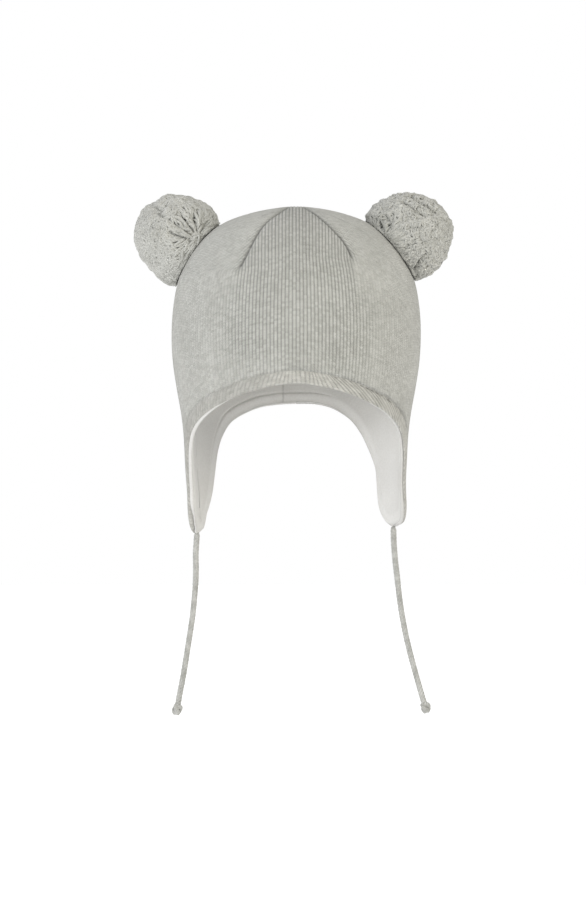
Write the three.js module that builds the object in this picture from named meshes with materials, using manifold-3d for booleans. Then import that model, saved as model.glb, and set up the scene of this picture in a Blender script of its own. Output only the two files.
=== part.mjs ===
// A baby's hat with ear flaps: a fine rib-knit crown, a turned hem band along the whole edge, a white
// jersey lining, two yarn pompoms as ears and two braided ties that each end in a knot.
// Millimetres, +Z up, the face opening towards -Y. The origin is the top of the hollow, on the lining,
// where the crown of a head sits.
import * as THREE from 'three';
import { mergeVertices } from 'three/addons/utils/BufferGeometryUtils.js';
import Module from 'manifold-3d';

const wasm = await Module();
wasm.setup();

// Driving dimensions
const KNIT_WALL = 2.6;
const LINING_WALL = 1.4;
const SEAM_GAP = 0.3;
const HEM_WIDTH = 6.8;
const HEM_DEPTH = 2.4;
const HEM_PROUD = 0.4;
const LEFT_FLAP_EXTRA = 3;
const FLAP_STARTS_AT = 140;
const FLAP_LENGTH = 42;
const POMPOM_DIAMETER = 50;
const TIE_DIAMETER = 3.6;
const KNOT_WIDTH = 6.2;
const KNOT_LENGTH = 7.4;
const CROWN_TOP = KNIT_WALL + SEAM_GAP + LINING_WALL;

// How finely the walls are faceted
const COLUMNS = 60;
const CROWN_ROWS = 12;
const POMPOM_SEGMENTS = 20;
const POMPOM_RINGS = 14;
const TIE_SIDES = 8;
const TIE_STEPS = 14;
const KNOT_SIDES = 12;

// Level sections of the knit's outer face: the drop below the crown's top, then the half width and the
// reach to the front and to the back at that level.
const SECTIONS = [
  { drop: 0, side: 0, front: 0, back: 0 },
  { drop: 1.2, side: 12, front: 13.5, back: 14.2 },
  { drop: 4, side: 25, front: 28.2, back: 29.6 },
  { drop: 9.1, side: 38.6, front: 43.5, back: 45.7 },
  { drop: 17, side: 50, front: 56.5, back: 59.3 },
  { drop: 27.7, side: 59.3, front: 67.2, back: 70.5 },
  { drop: 41, side: 66, front: 75, back: 78.6 },
  { drop: 56, side: 69.2, front: 79, back: 83 },
  { drop: 72, side: 70.3, front: 80.3, back: 84.8 },
  { drop: 88, side: 69.6, front: 79, back: 84.2 },
  { drop: 103.5, side: 67.2, front: 76, back: 80.5 },
  { drop: 117, side: 64.6, front: 71.5, back: 73 },
  { drop: 130.5, side: 62.9, front: 67.5, back: 62 },
  { drop: 144, side: 62.4, front: 65, back: 52 },
  { drop: 158, side: 61.9, front: 64, back: 45 },
  { drop: 171, side: 61.2, front: 63, back: 41 },
  { drop: 190, side: 57.5, front: 60, back: 38 },
];

// The lower edge from the middle of the forehead, round a flap's tip, to the nape: the angle round the
// head on either side, in degrees from straight ahead, and the drop below the crown's top.
const EDGE = [
  { right: 0, left: 0, drop: 102.3 },
  { right: 13, left: 13, drop: 104.2 },
  { right: 25, left: 25, drop: 107.5 },
  { right: 37, left: 37, drop: 112 },
  { right: 47, left: 47, drop: 116 },
  { right: 56, left: 56, drop: 120.4 },
  { right: 65, left: 64.5, drop: 125.4 },
  { right: 72, left: 71.5, drop: 131.2 },
  { right: 76.5, left: 76, drop: 138.5 },
  { right: 78.5, left: 78, drop: 148 },
  { right: 79.8, left: 79.3, drop: 158 },
  { right: 82.5, left: 82, drop: 168 },
  { right: 88, left: 87.5, drop: 176.8 },
  { right: 97, left: 96, drop: 181.6 },
  { right: 107, left: 105, drop: 181.4 },
  { right: 117, left: 113.5, drop: 177 },
  { right: 123.5, left: 119.5, drop: 170 },
  { right: 127, left: 123.5, drop: 160.5 },
  { right: 129.3, left: 126.5, drop: 149 },
  { right: 134, left: 129.6, drop: 138.5 },
  { right: 141, left: 134.5, drop: 129 },
  { right: 150, left: 142.5, drop: 120.6 },
  { right: 162, left: 157, drop: 113.4 },
  { right: 180, left: 180, drop: 110.3 },
];

// Routes of the two ties, from the flap's tip to the knot: across and up from the origin.
const TIE_DEPTH = 8;
const LEFT_TIE = [
  [-56.1, -180.9], [-56.5, -187], [-56.8, -193], [-56.7, -200], [-56.8, -207], [-57.3, -214],
  [-57.9, -221], [-58.7, -228], [-59.7, -235], [-60.8, -242], [-61.9, -249], [-63, -256],
  [-64.2, -263], [-65.4, -269], [-66.3, -274], [-66.9, -277.6],
];
const RIGHT_TIE = [
  [55.2, -177.8], [55.3, -183], [55.6, -189], [56.2, -196], [57, -203], [57.8, -210],
  [58.6, -217], [59.6, -224], [60.8, -231], [62.2, -238], [63.8, -245], [65.6, -252],
  [67.5, -259], [69.5, -266], [71.2, -272], [72.6, -276.6],
];

// Where the pompoms' centres sit, measured from the origin
const POMPOMS = {
  pompom_left: [-67.4, 1, -13.6],
  pompom_right: [64, -2, -13.3],
};

// Materials, with their colours as they look in plain studio light
const greyKnit = new THREE.MeshStandardMaterial({ color: 0xb4b4ad, roughness: 0.95, metalness: 0 });
const hemKnit = new THREE.MeshStandardMaterial({ color: 0xbcb9b2, roughness: 0.95, metalness: 0 });
const whiteJersey = new THREE.MeshStandardMaterial({ color: 0xdadad8, roughness: 0.9, metalness: 0 });
const greyYarn = new THREE.MeshStandardMaterial({ color: 0xaeafa7, roughness: 1, metalness: 0 });
const greyBraid = new THREE.MeshStandardMaterial({ color: 0xc3c4bf, roughness: 0.9, metalness: 0 });

// A smooth reading of one column of SECTIONS. It works on the square root of the drop, in which a round
// crown is nearly a straight line.
function sectionAt(drop, column) {
  const at = Math.sqrt(Math.max(drop, 0));
  const knot = (i) => Math.sqrt(SECTIONS[i].drop);
  const slope = (i) => {
    const before = Math.max(i - 1, 0);
    const after = Math.min(i + 1, SECTIONS.length - 1);
    return (SECTIONS[after][column] - SECTIONS[before][column]) / (knot(after) - knot(before));
  };
  let i = 0;
  while (i < SECTIONS.length - 2 && knot(i + 1) <= at) i += 1;
  const span = knot(i + 1) - knot(i);
  const u = (at - knot(i)) / span;
  const start = SECTIONS[i][column] * (2 * u ** 3 - 3 * u ** 2 + 1);
  const end = SECTIONS[i + 1][column] * (3 * u ** 2 - 2 * u ** 3);
  const leave = slope(i) * span * (u ** 3 - 2 * u ** 2 + u);
  const arrive = slope(i + 1) * span * (u ** 3 - u ** 2);
  return start + end + leave + arrive;
}

// The knit's outer face at an angle, in radians from straight ahead, and a drop
function facePoint(angle, drop) {
  const reach = Math.cos(angle) > 0 ? sectionAt(drop, 'front') : sectionAt(drop, 'back');
  const across = sectionAt(drop, 'side') * Math.sin(angle);
  return new THREE.Vector3(across, -reach * Math.cos(angle), CROWN_TOP - drop);
}

// How the outer face runs at a point: round the head, downwards, and straight out of it
const PROBE = 0.001;
function faceDirections(angle, drop) {
  const lowest = Math.max(drop, 0.2);
  const round = facePoint(angle + PROBE, lowest).sub(facePoint(angle - PROBE, lowest));
  const down = facePoint(angle, lowest + PROBE).sub(facePoint(angle, lowest - PROBE));
  round.divideScalar(2 * PROBE);
  down.divideScalar(2 * PROBE);
  const out = new THREE.Vector3().crossVectors(down, round).normalize();
  return { round, down, out };
}

// A point at a depth inside the outer face
function wallPoint(place, inset) {
  if (place.drop < PROBE) return new THREE.Vector3(0, 0, CROWN_TOP - inset);
  const { out } = faceDirections(place.angle, place.drop);
  return facePoint(place.angle, place.drop).addScaledVector(out, -inset);
}

// The whole lower edge as places on the outer face, spaced evenly along it. The spline runs in degrees and
// millimetres, which are nearly the same length on a head of this size.
function edgePlaces() {
  const flapShare = (drop) => THREE.MathUtils.smoothstep(drop, FLAP_STARTS_AT, FLAP_STARTS_AT + FLAP_LENGTH);
  const rightHalf = EDGE.map((row) => new THREE.Vector2(row.right, row.drop));
  const leftDrop = (row) => row.drop + LEFT_FLAP_EXTRA * flapShare(row.drop);
  const leftHalf = EDGE.map((row) => new THREE.Vector2(-row.left, leftDrop(row)));
  const loop = [...leftHalf.reverse().slice(0, -1), ...rightHalf];
  const spaced = new THREE.SplineCurve(loop).getSpacedPoints(COLUMNS).slice(0, COLUMNS);
  return spaced.map((p) => ({ angle: THREE.MathUtils.degToRad(p.x), drop: p.y }));
}

// The edge moved inwards over the outer face by a distance, at right angles to itself
const SLIDE_STEPS = 4;
function slideInwards(places, distance) {
  const points = places.map((place) => facePoint(place.angle, place.drop));
  return places.map((place, i) => {
    const along = points[(i + 1) % COLUMNS].clone().sub(points[(i + COLUMNS - 1) % COLUMNS]);
    const moved = { ...place };
    for (let step = 0; step < SLIDE_STEPS; step += 1) {
      const { round, down, out } = faceDirections(moved.angle, moved.drop);
      const inward = new THREE.Vector3().crossVectors(out, along).normalize();
      const rr = round.dot(round);
      const rd = round.dot(down);
      const dd = down.dot(down);
      const spread = rr * dd - rd * rd;
      const ir = inward.dot(round);
      const id = inward.dot(down);
      const stepLength = distance / SLIDE_STEPS;
      moved.angle += (stepLength * (ir * dd - id * rd)) / spread;
      moved.drop += (stepLength * (id * rr - ir * rd)) / spread;
    }
    return moved;
  });
}

// Rows of places from just below the crown's top down to a rim. The columns start fanned evenly round the
// top and end on the rim's own places.
function crownRows(rim) {
  const rows = [];
  for (let row = 1; row <= CROWN_ROWS; row += 1) {
    const share = row / CROWN_ROWS;
    rows.push(rim.map((place, i) => {
      const even = 2 * Math.PI * (i / COLUMNS) - Math.PI;
      const start = (even + place.angle) / 2;
      return {
        angle: THREE.MathUtils.lerp(start, place.angle, share),
        drop: place.drop * share ** 2,
      };
    }));
  }
  return rows;
}

// One closed body from loops of points, each loop joined to the next. Single points close the ends; with
// none, the last loop joins the first. From the loop where a wall turns back up, the quads are split along
// their other diagonal, so that the facets of facing walls lie parallel.
function bodyFromLoops(loops, turnsBackAt, firstTip, lastTip) {
  const points = loops.flat();
  const faces = [];
  const joins = firstTip ? loops.length - 1 : loops.length;
  for (let loop = 0; loop < joins; loop += 1) {
    const here = loop * COLUMNS;
    const next = ((loop + 1) % loops.length) * COLUMNS;
    for (let i = 0; i < COLUMNS; i += 1) {
      const j = (i + 1) % COLUMNS;
      if (loop < turnsBackAt) faces.push(here + i, next + i, next + j, here + i, next + j, here + j);
      else faces.push(here + i, next + i, here + j, next + i, next + j, here + j);
    }
  }
  if (firstTip) {
    const firstIndex = points.push(firstTip) - 1;
    const lastIndex = points.push(lastTip) - 1;
    const lastLoop = (loops.length - 1) * COLUMNS;
    for (let i = 0; i < COLUMNS; i += 1) {
      const j = (i + 1) % COLUMNS;
      faces.push(firstIndex, i, j);
      faces.push(lastIndex, lastLoop + j, lastLoop + i);
    }
  }
  const geometry = new THREE.BufferGeometry();
  const positions = points.flatMap((p) => [p.x, p.y, p.z]);
  geometry.setAttribute('position', new THREE.Float32BufferAttribute(positions, 3));
  geometry.setIndex(faces);
  return geometry;
}

// A cap-shaped wall between two depths, from the crown's top down its rows
function domeWall(rows, outerInset, innerInset) {
  const outer = rows.map((row) => row.map((place) => wallPoint(place, outerInset)));
  const inner = rows.map((row) => row.map((place) => wallPoint(place, innerInset)));
  const top = { angle: 0, drop: 0 };
  const loops = [...outer, ...inner.reverse()];
  return bodyFromLoops(loops, outer.length, wallPoint(top, outerInset), wallPoint(top, innerInset));
}

// The crown filled in, a little larger all over, as the form that the pompoms press against
function crownForm(rows) {
  const outer = rows.map((row) => row.map((place) => wallPoint(place, -SEAM_GAP)));
  const top = new THREE.Vector3(0, 0, CROWN_TOP + SEAM_GAP);
  const middle = new THREE.Vector3(0, 0, outer[outer.length - 1][0].z);
  return bodyFromLoops(outer, outer.length, top, middle);
}

// The hem band's cross-section, from its lower fold up its outer face and down its inner one: how far up
// from the edge and how deep in the wall
const HEM_SECTION = [
  { up: 0.15, inset: 1.9 },
  { up: 0, inset: 0.9 },
  { up: 0.8, inset: -0.2 },
  { up: HEM_WIDTH / 2, inset: -HEM_PROUD },
  { up: HEM_WIDTH, inset: -0.1 },
  { up: HEM_WIDTH, inset: HEM_DEPTH },
  { up: HEM_WIDTH / 2, inset: HEM_DEPTH },
  { up: 0.8, inset: HEM_DEPTH },
];

function hemBand(edge) {
  const loops = HEM_SECTION.map((corner) =>
    slideInwards(edge, corner.up).map((place) => wallPoint(place, corner.inset)));
  return bodyFromLoops(loops.reverse(), loops.length);
}

// Solids for cutting one shape by another
function toSolid(geometry) {
  const bare = geometry.clone();
  bare.deleteAttribute('normal');
  bare.deleteAttribute('uv');
  const merged = mergeVertices(bare);
  return new wasm.Manifold(new wasm.Mesh({
    numProp: 3,
    vertProperties: new Float32Array(merged.attributes.position.array),
    triVerts: new Uint32Array(merged.index.array),
  }));
}

function fromSolid(solid) {
  const mesh = solid.getMesh();
  const geometry = new THREE.BufferGeometry();
  geometry.setAttribute('position', new THREE.Float32BufferAttribute(mesh.vertProperties, 3));
  geometry.setIndex([...mesh.triVerts]);
  return geometry;
}

// The pompom's outer form: a ball pressed flat where it is tied against the crown
function pompom(centre, hatForm) {
  const ball = new THREE.SphereGeometry(POMPOM_DIAMETER / 2, POMPOM_SEGMENTS, POMPOM_RINGS);
  ball.rotateZ(Math.PI / 2);
  ball.translate(...centre);
  return fromSolid(toSolid(ball).subtract(hatForm));
}

// A tie: a round braid along its route
function tie(route) {
  const curve = new THREE.CatmullRomCurve3(route.map(([x, z]) => new THREE.Vector3(x, TIE_DEPTH, z)));
  const section = new THREE.Shape();
  for (let i = 0; i < TIE_SIDES; i += 1) {
    const turn = (2 * Math.PI * i) / TIE_SIDES;
    const x = (TIE_DIAMETER / 2) * Math.cos(turn);
    const y = (TIE_DIAMETER / 2) * Math.sin(turn);
    if (i === 0) section.moveTo(x, y);
    else section.lineTo(x, y);
  }
  section.closePath();
  return new THREE.ExtrudeGeometry(section, { steps: TIE_STEPS, extrudePath: curve });
}

// A knot's outline as shares of its width and length, from its lower end up to where the tie goes in
const KNOT_PROFILE = [
  { radius: 0, along: -0.5 },
  { radius: 0.3, along: -0.44 },
  { radius: 0.47, along: -0.2 },
  { radius: 0.5, along: 0.05 },
  { radius: 0.42, along: 0.32 },
  { radius: 0.28, along: 0.5 },
  { radius: 0, along: 0.5 },
];

// A knot: the rounded outer form of the tied end, its long axis in line with the tie's last stretch
function knotMesh(name, route) {
  const [x, z] = route[route.length - 1];
  const [beforeX, beforeZ] = route[route.length - 2];
  const direction = new THREE.Vector3(x - beforeX, 0, z - beforeZ).normalize();
  const size = new THREE.Vector2(KNOT_WIDTH, KNOT_LENGTH);
  const outline = KNOT_PROFILE.map((row) => new THREE.Vector2(row.radius, row.along).multiply(size));
  const mesh = new THREE.Mesh(new THREE.LatheGeometry(outline, KNOT_SIDES), greyBraid);
  mesh.name = name;
  mesh.quaternion.setFromUnitVectors(new THREE.Vector3(0, -1, 0), direction);
  mesh.position.set(x, TIE_DEPTH, z).addScaledVector(direction, KNOT_LENGTH / 2 + SEAM_GAP);
  return mesh;
}

function named(name, geometry, material) {
  const mesh = new THREE.Mesh(geometry, material);
  mesh.name = name;
  return mesh;
}

// The walls share one set of columns and rows, so that they run parallel with their gap between them
const edge = edgePlaces();
const shellRows = crownRows(slideInwards(edge, HEM_WIDTH + SEAM_GAP));
const liningRows = [...shellRows, slideInwards(edge, HEM_WIDTH / 2), edge];
const liningOuter = KNIT_WALL + SEAM_GAP;

const body = new THREE.Group();
body.add(named('outer_shell', domeWall(shellRows, 0, KNIT_WALL), greyKnit));
body.add(named('hem_band', hemBand(edge), hemKnit));
body.add(named('lining', domeWall(liningRows, liningOuter, CROWN_TOP), whiteJersey));

const hatForm = toSolid(crownForm(shellRows));
const ears = new THREE.Group();
for (const [name, centre] of Object.entries(POMPOMS)) {
  ears.add(named(name, pompom(centre, hatForm), greyYarn));
}

const ties = new THREE.Group();
ties.add(named('cord_left', tie(LEFT_TIE), greyBraid));
ties.add(named('cord_right', tie(RIGHT_TIE), greyBraid));
ties.add(knotMesh('knot_left', LEFT_TIE));
ties.add(knotMesh('knot_right', RIGHT_TIE));

const hat = new THREE.Group();
hat.add(body, ears, ties);
export default hat;
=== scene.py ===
import math

import bmesh
import bpy
import numpy as np
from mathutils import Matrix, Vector


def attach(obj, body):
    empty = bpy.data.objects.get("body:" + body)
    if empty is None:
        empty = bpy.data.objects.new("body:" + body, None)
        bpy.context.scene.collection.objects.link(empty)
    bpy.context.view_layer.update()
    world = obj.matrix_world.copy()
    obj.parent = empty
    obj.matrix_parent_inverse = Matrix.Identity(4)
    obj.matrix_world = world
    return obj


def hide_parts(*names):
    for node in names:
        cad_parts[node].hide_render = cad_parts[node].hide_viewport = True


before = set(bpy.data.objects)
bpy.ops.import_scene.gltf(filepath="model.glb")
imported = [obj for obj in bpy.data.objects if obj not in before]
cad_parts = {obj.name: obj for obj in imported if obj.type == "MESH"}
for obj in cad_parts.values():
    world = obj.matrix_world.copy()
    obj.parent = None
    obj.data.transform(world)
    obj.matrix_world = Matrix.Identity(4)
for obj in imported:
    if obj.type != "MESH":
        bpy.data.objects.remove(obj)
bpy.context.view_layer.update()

# Camera, floor and light: the hat is shown as worn, in front of white. The camera stands level with its
# middle, 1.5 m away. The light is soft, a little stronger from the front left. The floor is pale, and
# glows, more so for the camera, so that it meets the white behind it without a line.
MM = 0.001
CAMERA_PLACE = (-1.7 * MM, -1.5, -136.7 * MM)
LENS = 105.1
FLOOR_HEIGHT = -0.5
FLOOR_RADIUS = 6.0
FLOOR_GLOW = 0.22
FLOOR_GLOW_SEEN = 0.4
SKY_LIGHT = 0.62
SOFT_BOXES = (
    # place, what it points at, side, power, colour
    ((-1.25, -1.65, -0.05), (0, 0, -0.08), 1.0, 16.1, (0.98, 0.99, 1.0)),
    ((1.4, -1.1, 0.6), (0, 0, -0.05), 1.0, 9.3, (1.0, 0.945, 0.78)),
    ((0.1, -0.3, 1.7), (0, 0, -0.05), 1.2, 2.9, (1.0, 1.0, 1.0)),
)

scene = bpy.context.scene
scene.view_settings.view_transform = "Standard"

camera_data = bpy.data.cameras.new("camera")
camera_data.lens = LENS
camera_data.sensor_width = 36
camera = bpy.data.objects.new("camera", camera_data)
camera.location = CAMERA_PLACE
camera.rotation_euler = (math.pi / 2, 0, 0)
scene.collection.objects.link(camera)
scene.camera = camera

for number, (place, target, side, power, tint) in enumerate(SOFT_BOXES):
    light_data = bpy.data.lights.new(f"soft_box_{number}", "AREA")
    light_data.size = side
    light_data.energy = power
    light_data.color = tint
    light = bpy.data.objects.new(f"soft_box_{number}", light_data)
    light.location = place
    light.rotation_euler = (Vector(target) - Vector(place)).to_track_quat("-Z", "Y").to_euler()
    scene.collection.objects.link(light)

world = bpy.data.worlds.new("white_studio")
scene.world = world
world.use_nodes = True
world_nodes, world_links = world.node_tree.nodes, world.node_tree.links
sky_fill = world_nodes["Background"]
sky_fill.inputs["Color"].default_value = (1, 1, 1, 1)
sky_fill.inputs["Strength"].default_value = SKY_LIGHT
sky_seen = world_nodes.new("ShaderNodeBackground")
sky_seen.inputs["Color"].default_value = (1, 1, 1, 1)
sky_path = world_nodes.new("ShaderNodeLightPath")
sky_mix = world_nodes.new("ShaderNodeMixShader")
world_links.new(sky_path.outputs["Is Camera Ray"], sky_mix.inputs["Fac"])
world_links.new(sky_fill.outputs["Background"], sky_mix.inputs[1])
world_links.new(sky_seen.outputs["Background"], sky_mix.inputs[2])
world_links.new(sky_mix.outputs["Shader"], world_nodes["World Output"].inputs["Surface"])

floor_mesh = bpy.data.meshes.new("floor")
bm = bmesh.new()
bmesh.ops.create_circle(bm, cap_ends=True, segments=64, radius=FLOOR_RADIUS)
bmesh.ops.translate(bm, verts=bm.verts, vec=(0, 0, FLOOR_HEIGHT))
bm.to_mesh(floor_mesh)
bm.free()
floor = bpy.data.objects.new("floor", floor_mesh)
scene.collection.objects.link(floor)

floor_paint = bpy.data.materials.new("floor_paint")
floor_paint.use_nodes = True
floor_nodes, floor_links = floor_paint.node_tree.nodes, floor_paint.node_tree.links
floor_shader = floor_nodes["Principled BSDF"]
floor_shader.inputs["Base Color"].default_value = (0.9, 0.9, 0.9, 1)
floor_shader.inputs["Roughness"].default_value = 0.9
floor_shader.inputs["Emission Color"].default_value = (1, 1, 1, 1)
floor_seen = floor_nodes.new("ShaderNodeLightPath")
floor_glow = floor_nodes.new("ShaderNodeMath")
floor_glow.operation = "MULTIPLY_ADD"
floor_glow.inputs[1].default_value = FLOOR_GLOW_SEEN
floor_glow.inputs[2].default_value = FLOOR_GLOW
floor_links.new(floor_seen.outputs["Is Camera Ray"], floor_glow.inputs[0])
floor_links.new(floor_glow.outputs["Value"], floor_shader.inputs["Emission Strength"])
floor_side = floor_nodes.new("ShaderNodeNewGeometry")
floor_clear = floor_nodes.new("ShaderNodeBsdfTransparent")
floor_mix = floor_nodes.new("ShaderNodeMixShader")
floor_links.new(floor_side.outputs["Backfacing"], floor_mix.inputs["Fac"])
floor_links.new(floor_shader.outputs["BSDF"], floor_mix.inputs[1])
floor_links.new(floor_clear.outputs["BSDF"], floor_mix.inputs[2])
floor_links.new(floor_mix.outputs["Shader"], floor_nodes["Material Output"].inputs["Surface"])
floor_mesh.materials.append(floor_paint)


# Ties: each flap ends in a round cord of four cotton strands, sewn into the tip and ending in a knot.
# The photograph shows both from end to end, so their lengths are measured along these routes.
LEFT_ROUTE = (
    (-56.1, -180.9), (-56.5, -187), (-56.8, -193), (-56.7, -200), (-56.8, -207), (-57.3, -214),
    (-57.9, -221), (-58.7, -228), (-59.7, -235), (-60.8, -242), (-61.9, -249), (-63, -256),
    (-64.2, -263), (-65.4, -269), (-66.3, -274), (-66.9, -277.6),
)
RIGHT_ROUTE = (
    (55.2, -177.8), (55.3, -183), (55.6, -189), (56.2, -196), (57, -203), (57.8, -210),
    (58.6, -217), (59.6, -224), (60.8, -231), (62.2, -238), (63.8, -245), (65.6, -252),
    (67.5, -259), (69.5, -266), (71.2, -272), (72.6, -276.6),
)
TIE_DEPTH = 8 * MM
TIE_STRANDS = 4
STRAND_RADIUS = 0.78 * MM
STRAND_OFFSET = 0.98 * MM
LAY_LENGTH = 7.8 * MM
SEWN_IN = {
    # how the sewn end goes on into the flap's tip: outwards, backwards and up
    "left": MM * np.array((-0.5, 3.0, 0.6)),
    "right": MM * np.array((0.5, 3.0, 1.2)),
}
SEWN_POINTS = 6
SEWN_END_THICKNESS = 0.35
TIE_POINTS = 150
KNOT_LENGTH = 7.0 * MM
KNOT_BITE = 0.9 * MM
KNOT_TURNS = 2
KNOT_WAVES = 3
KNOT_LOOP = 1.05 * MM
KNOT_WAVE = 0.8 * MM
KNOT_STRETCH = 2.5
KNOT_STRANDS = 3
KNOT_STRAND_TWISTS = 3
KNOT_STRAND_RADIUS = 0.85 * MM
KNOT_STRAND_OFFSET = 0.5 * MM
KNOT_POINTS = 120
CORD_DARK = (0.24, 0.24, 0.22, 1)
CORD_LIGHT = (0.68, 0.68, 0.655, 1)


def smooth_line(points, count):
    """A smooth curve through the points, as count points evenly spaced along it."""
    points = np.asarray(points, float)
    padded = np.vstack([points[:1], points, points[-1:]])
    at = np.linspace(0, len(points) - 1, 40 * len(points))
    i = np.minimum(at.astype(int), len(points) - 2)
    u = (at - i)[:, None]
    before, here, there, after = padded[i], padded[i + 1], padded[i + 2], padded[i + 3]
    curve = 0.5 * (
        2 * here
        + (there - before) * u
        + (2 * before - 5 * here + 4 * there - after) * u**2
        + (3 * here - before - 3 * there + after) * u**3
    )
    steps = np.linalg.norm(np.diff(curve, axis=0), axis=1)
    reach = np.concatenate([[0], np.cumsum(steps)])
    even = np.linspace(0, reach[-1], count)
    return np.column_stack([np.interp(even, reach, curve[:, k]) for k in range(curve.shape[1])])


def unit(vectors):
    return vectors / np.linalg.norm(vectors, axis=-1, keepdims=True)


def yarn_mesh(name, lines, radius, sides_half, swell=None, closed=False):
    """Round yarns along lines, an array of yarns x points x 3, as one mesh. swell scales each point's
    thickness. The yarns of one mesh all have the same number of points."""
    curve = bpy.data.curves.new(name, "CURVE")
    curve.dimensions = "3D"
    curve.bevel_depth = radius
    curve.bevel_resolution = sides_half
    curve.use_fill_caps = not closed
    curve.twist_mode = "MINIMUM"
    count = len(lines[0])
    if swell is None:
        swell = np.ones((len(lines), count))
    for line, thick in zip(lines, swell):
        spline = curve.splines.new("POLY")
        spline.points.add(count - 1)
        spline.points.foreach_set("co", np.column_stack([line, np.ones(count)]).ravel())
        spline.points.foreach_set("radius", thick)
        spline.use_cyclic_u = closed
        spline.use_smooth = True
    holder = bpy.data.objects.new(name, curve)
    mesh = bpy.data.meshes.new_from_object(holder)
    bpy.data.objects.remove(holder)
    bpy.data.curves.remove(curve)
    mesh.name = name
    return mesh


def finish_piece(name, mesh, material, node):
    """The piece's object, in the place of its CAD node."""
    mesh.materials.clear()
    mesh.materials.append(material)
    mesh.shade_smooth()
    piece = bpy.data.objects.new(name, mesh)
    scene.collection.objects.link(piece)
    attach(piece, "root")
    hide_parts(node)
    return piece


def wool_group():
    """Spun fibre: where a yarn's shade varies, and how its surface is roughened by loose fibres."""
    group = bpy.data.node_groups.new("spun_fibre", "ShaderNodeTree")
    group.interface.new_socket("Vector", in_out="INPUT", socket_type="NodeSocketVector")
    group.interface.new_socket("Fibre Scale", in_out="INPUT", socket_type="NodeSocketFloat")
    group.interface.new_socket("Patch Scale", in_out="INPUT", socket_type="NodeSocketFloat")
    group.interface.new_socket("Tone", in_out="OUTPUT", socket_type="NodeSocketFloat")
    group.interface.new_socket("Fuzz", in_out="OUTPUT", socket_type="NodeSocketFloat")
    nodes, links = group.nodes, group.links
    ins, outs = nodes.new("NodeGroupInput"), nodes.new("NodeGroupOutput")
    fibre = nodes.new("ShaderNodeTexNoise")
    fibre.inputs["Detail"].default_value = 4
    fibre.inputs["Roughness"].default_value = 0.65
    patch = nodes.new("ShaderNodeTexNoise")
    patch.inputs["Detail"].default_value = 2
    blend = nodes.new("ShaderNodeMath")
    blend.operation = "MULTIPLY_ADD"
    blend.inputs[1].default_value = 0.35
    fine = nodes.new("ShaderNodeMath")
    fine.operation = "MULTIPLY"
    fine.inputs[1].default_value = 0.65
    links.new(ins.outputs["Vector"], fibre.inputs["Vector"])
    links.new(ins.outputs["Vector"], patch.inputs["Vector"])
    links.new(ins.outputs["Fibre Scale"], fibre.inputs["Scale"])
    links.new(ins.outputs["Patch Scale"], patch.inputs["Scale"])
    links.new(fibre.outputs["Fac"], fine.inputs[0])
    links.new(patch.outputs["Fac"], blend.inputs[0])
    links.new(fine.outputs["Value"], blend.inputs[2])
    links.new(blend.outputs["Value"], outs.inputs["Tone"])
    links.new(fibre.outputs["Fac"], outs.inputs["Fuzz"])
    return group


spun_fibre = wool_group()


def fibre_material(name, dark, light, fibre_scale, patch_scale, roughness, bump, sheen):
    """A matt fibre finish: marled colour and a fuzzy surface. Returns the material, its nodes and
    links, the colour mix and the bump, for what a piece adds."""
    material = bpy.data.materials.new(name)
    material.use_nodes = True
    nodes, links = material.node_tree.nodes, material.node_tree.links
    shader = nodes["Principled BSDF"]
    shader.inputs["Roughness"].default_value = roughness
    shader.inputs["Specular IOR Level"].default_value = 0.2
    shader.inputs["Sheen Weight"].default_value = sheen
    shader.inputs["Sheen Roughness"].default_value = 0.6
    place = nodes.new("ShaderNodeTexCoord")
    fibre = nodes.new("ShaderNodeGroup")
    fibre.node_tree = spun_fibre
    fibre.inputs["Fibre Scale"].default_value = fibre_scale
    fibre.inputs["Patch Scale"].default_value = patch_scale
    spread = nodes.new("ShaderNodeMapRange")
    spread.inputs["From Min"].default_value = 0.32
    spread.inputs["From Max"].default_value = 0.68
    colour = nodes.new("ShaderNodeMix")
    colour.data_type = "RGBA"
    colour.inputs[6].default_value = dark
    colour.inputs[7].default_value = light
    fuzz = nodes.new("ShaderNodeBump")
    fuzz.inputs["Strength"].default_value = bump
    fuzz.inputs["Distance"].default_value = 0.0003
    links.new(place.outputs["Object"], fibre.inputs["Vector"])
    links.new(fibre.outputs["Tone"], spread.inputs["Value"])
    links.new(spread.outputs["Result"], colour.inputs[0])
    links.new(colour.outputs[2], shader.inputs["Base Color"])
    links.new(fibre.outputs["Fuzz"], fuzz.inputs["Height"])
    links.new(fuzz.outputs["Normal"], shader.inputs["Normal"])
    return material, nodes, links, colour, fuzz


# Painted shade: a point attribute darkens the base colour where shade would fall.
def paint_shade(nodes, links, colour, name, least):
    """Shade the colour by a point attribute: least of it at 0, all of it at 1."""
    shade = nodes.new("ShaderNodeAttribute")
    shade.attribute_name = name
    amount = nodes.new("ShaderNodeMapRange")
    amount.inputs["To Min"].default_value = least
    times = nodes.new("ShaderNodeVectorMath")
    times.operation = "SCALE"
    links.new(shade.outputs["Fac"], amount.inputs["Value"])
    links.new(colour.outputs[2], times.inputs[0])
    links.new(amount.outputs["Result"], times.inputs["Scale"])
    links.new(times.outputs["Vector"], nodes["Principled BSDF"].inputs["Base Color"])


def tie_line(route):
    return smooth_line([(x * MM, TIE_DEPTH, z * MM) for x, z in route], TIE_POINTS)


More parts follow.
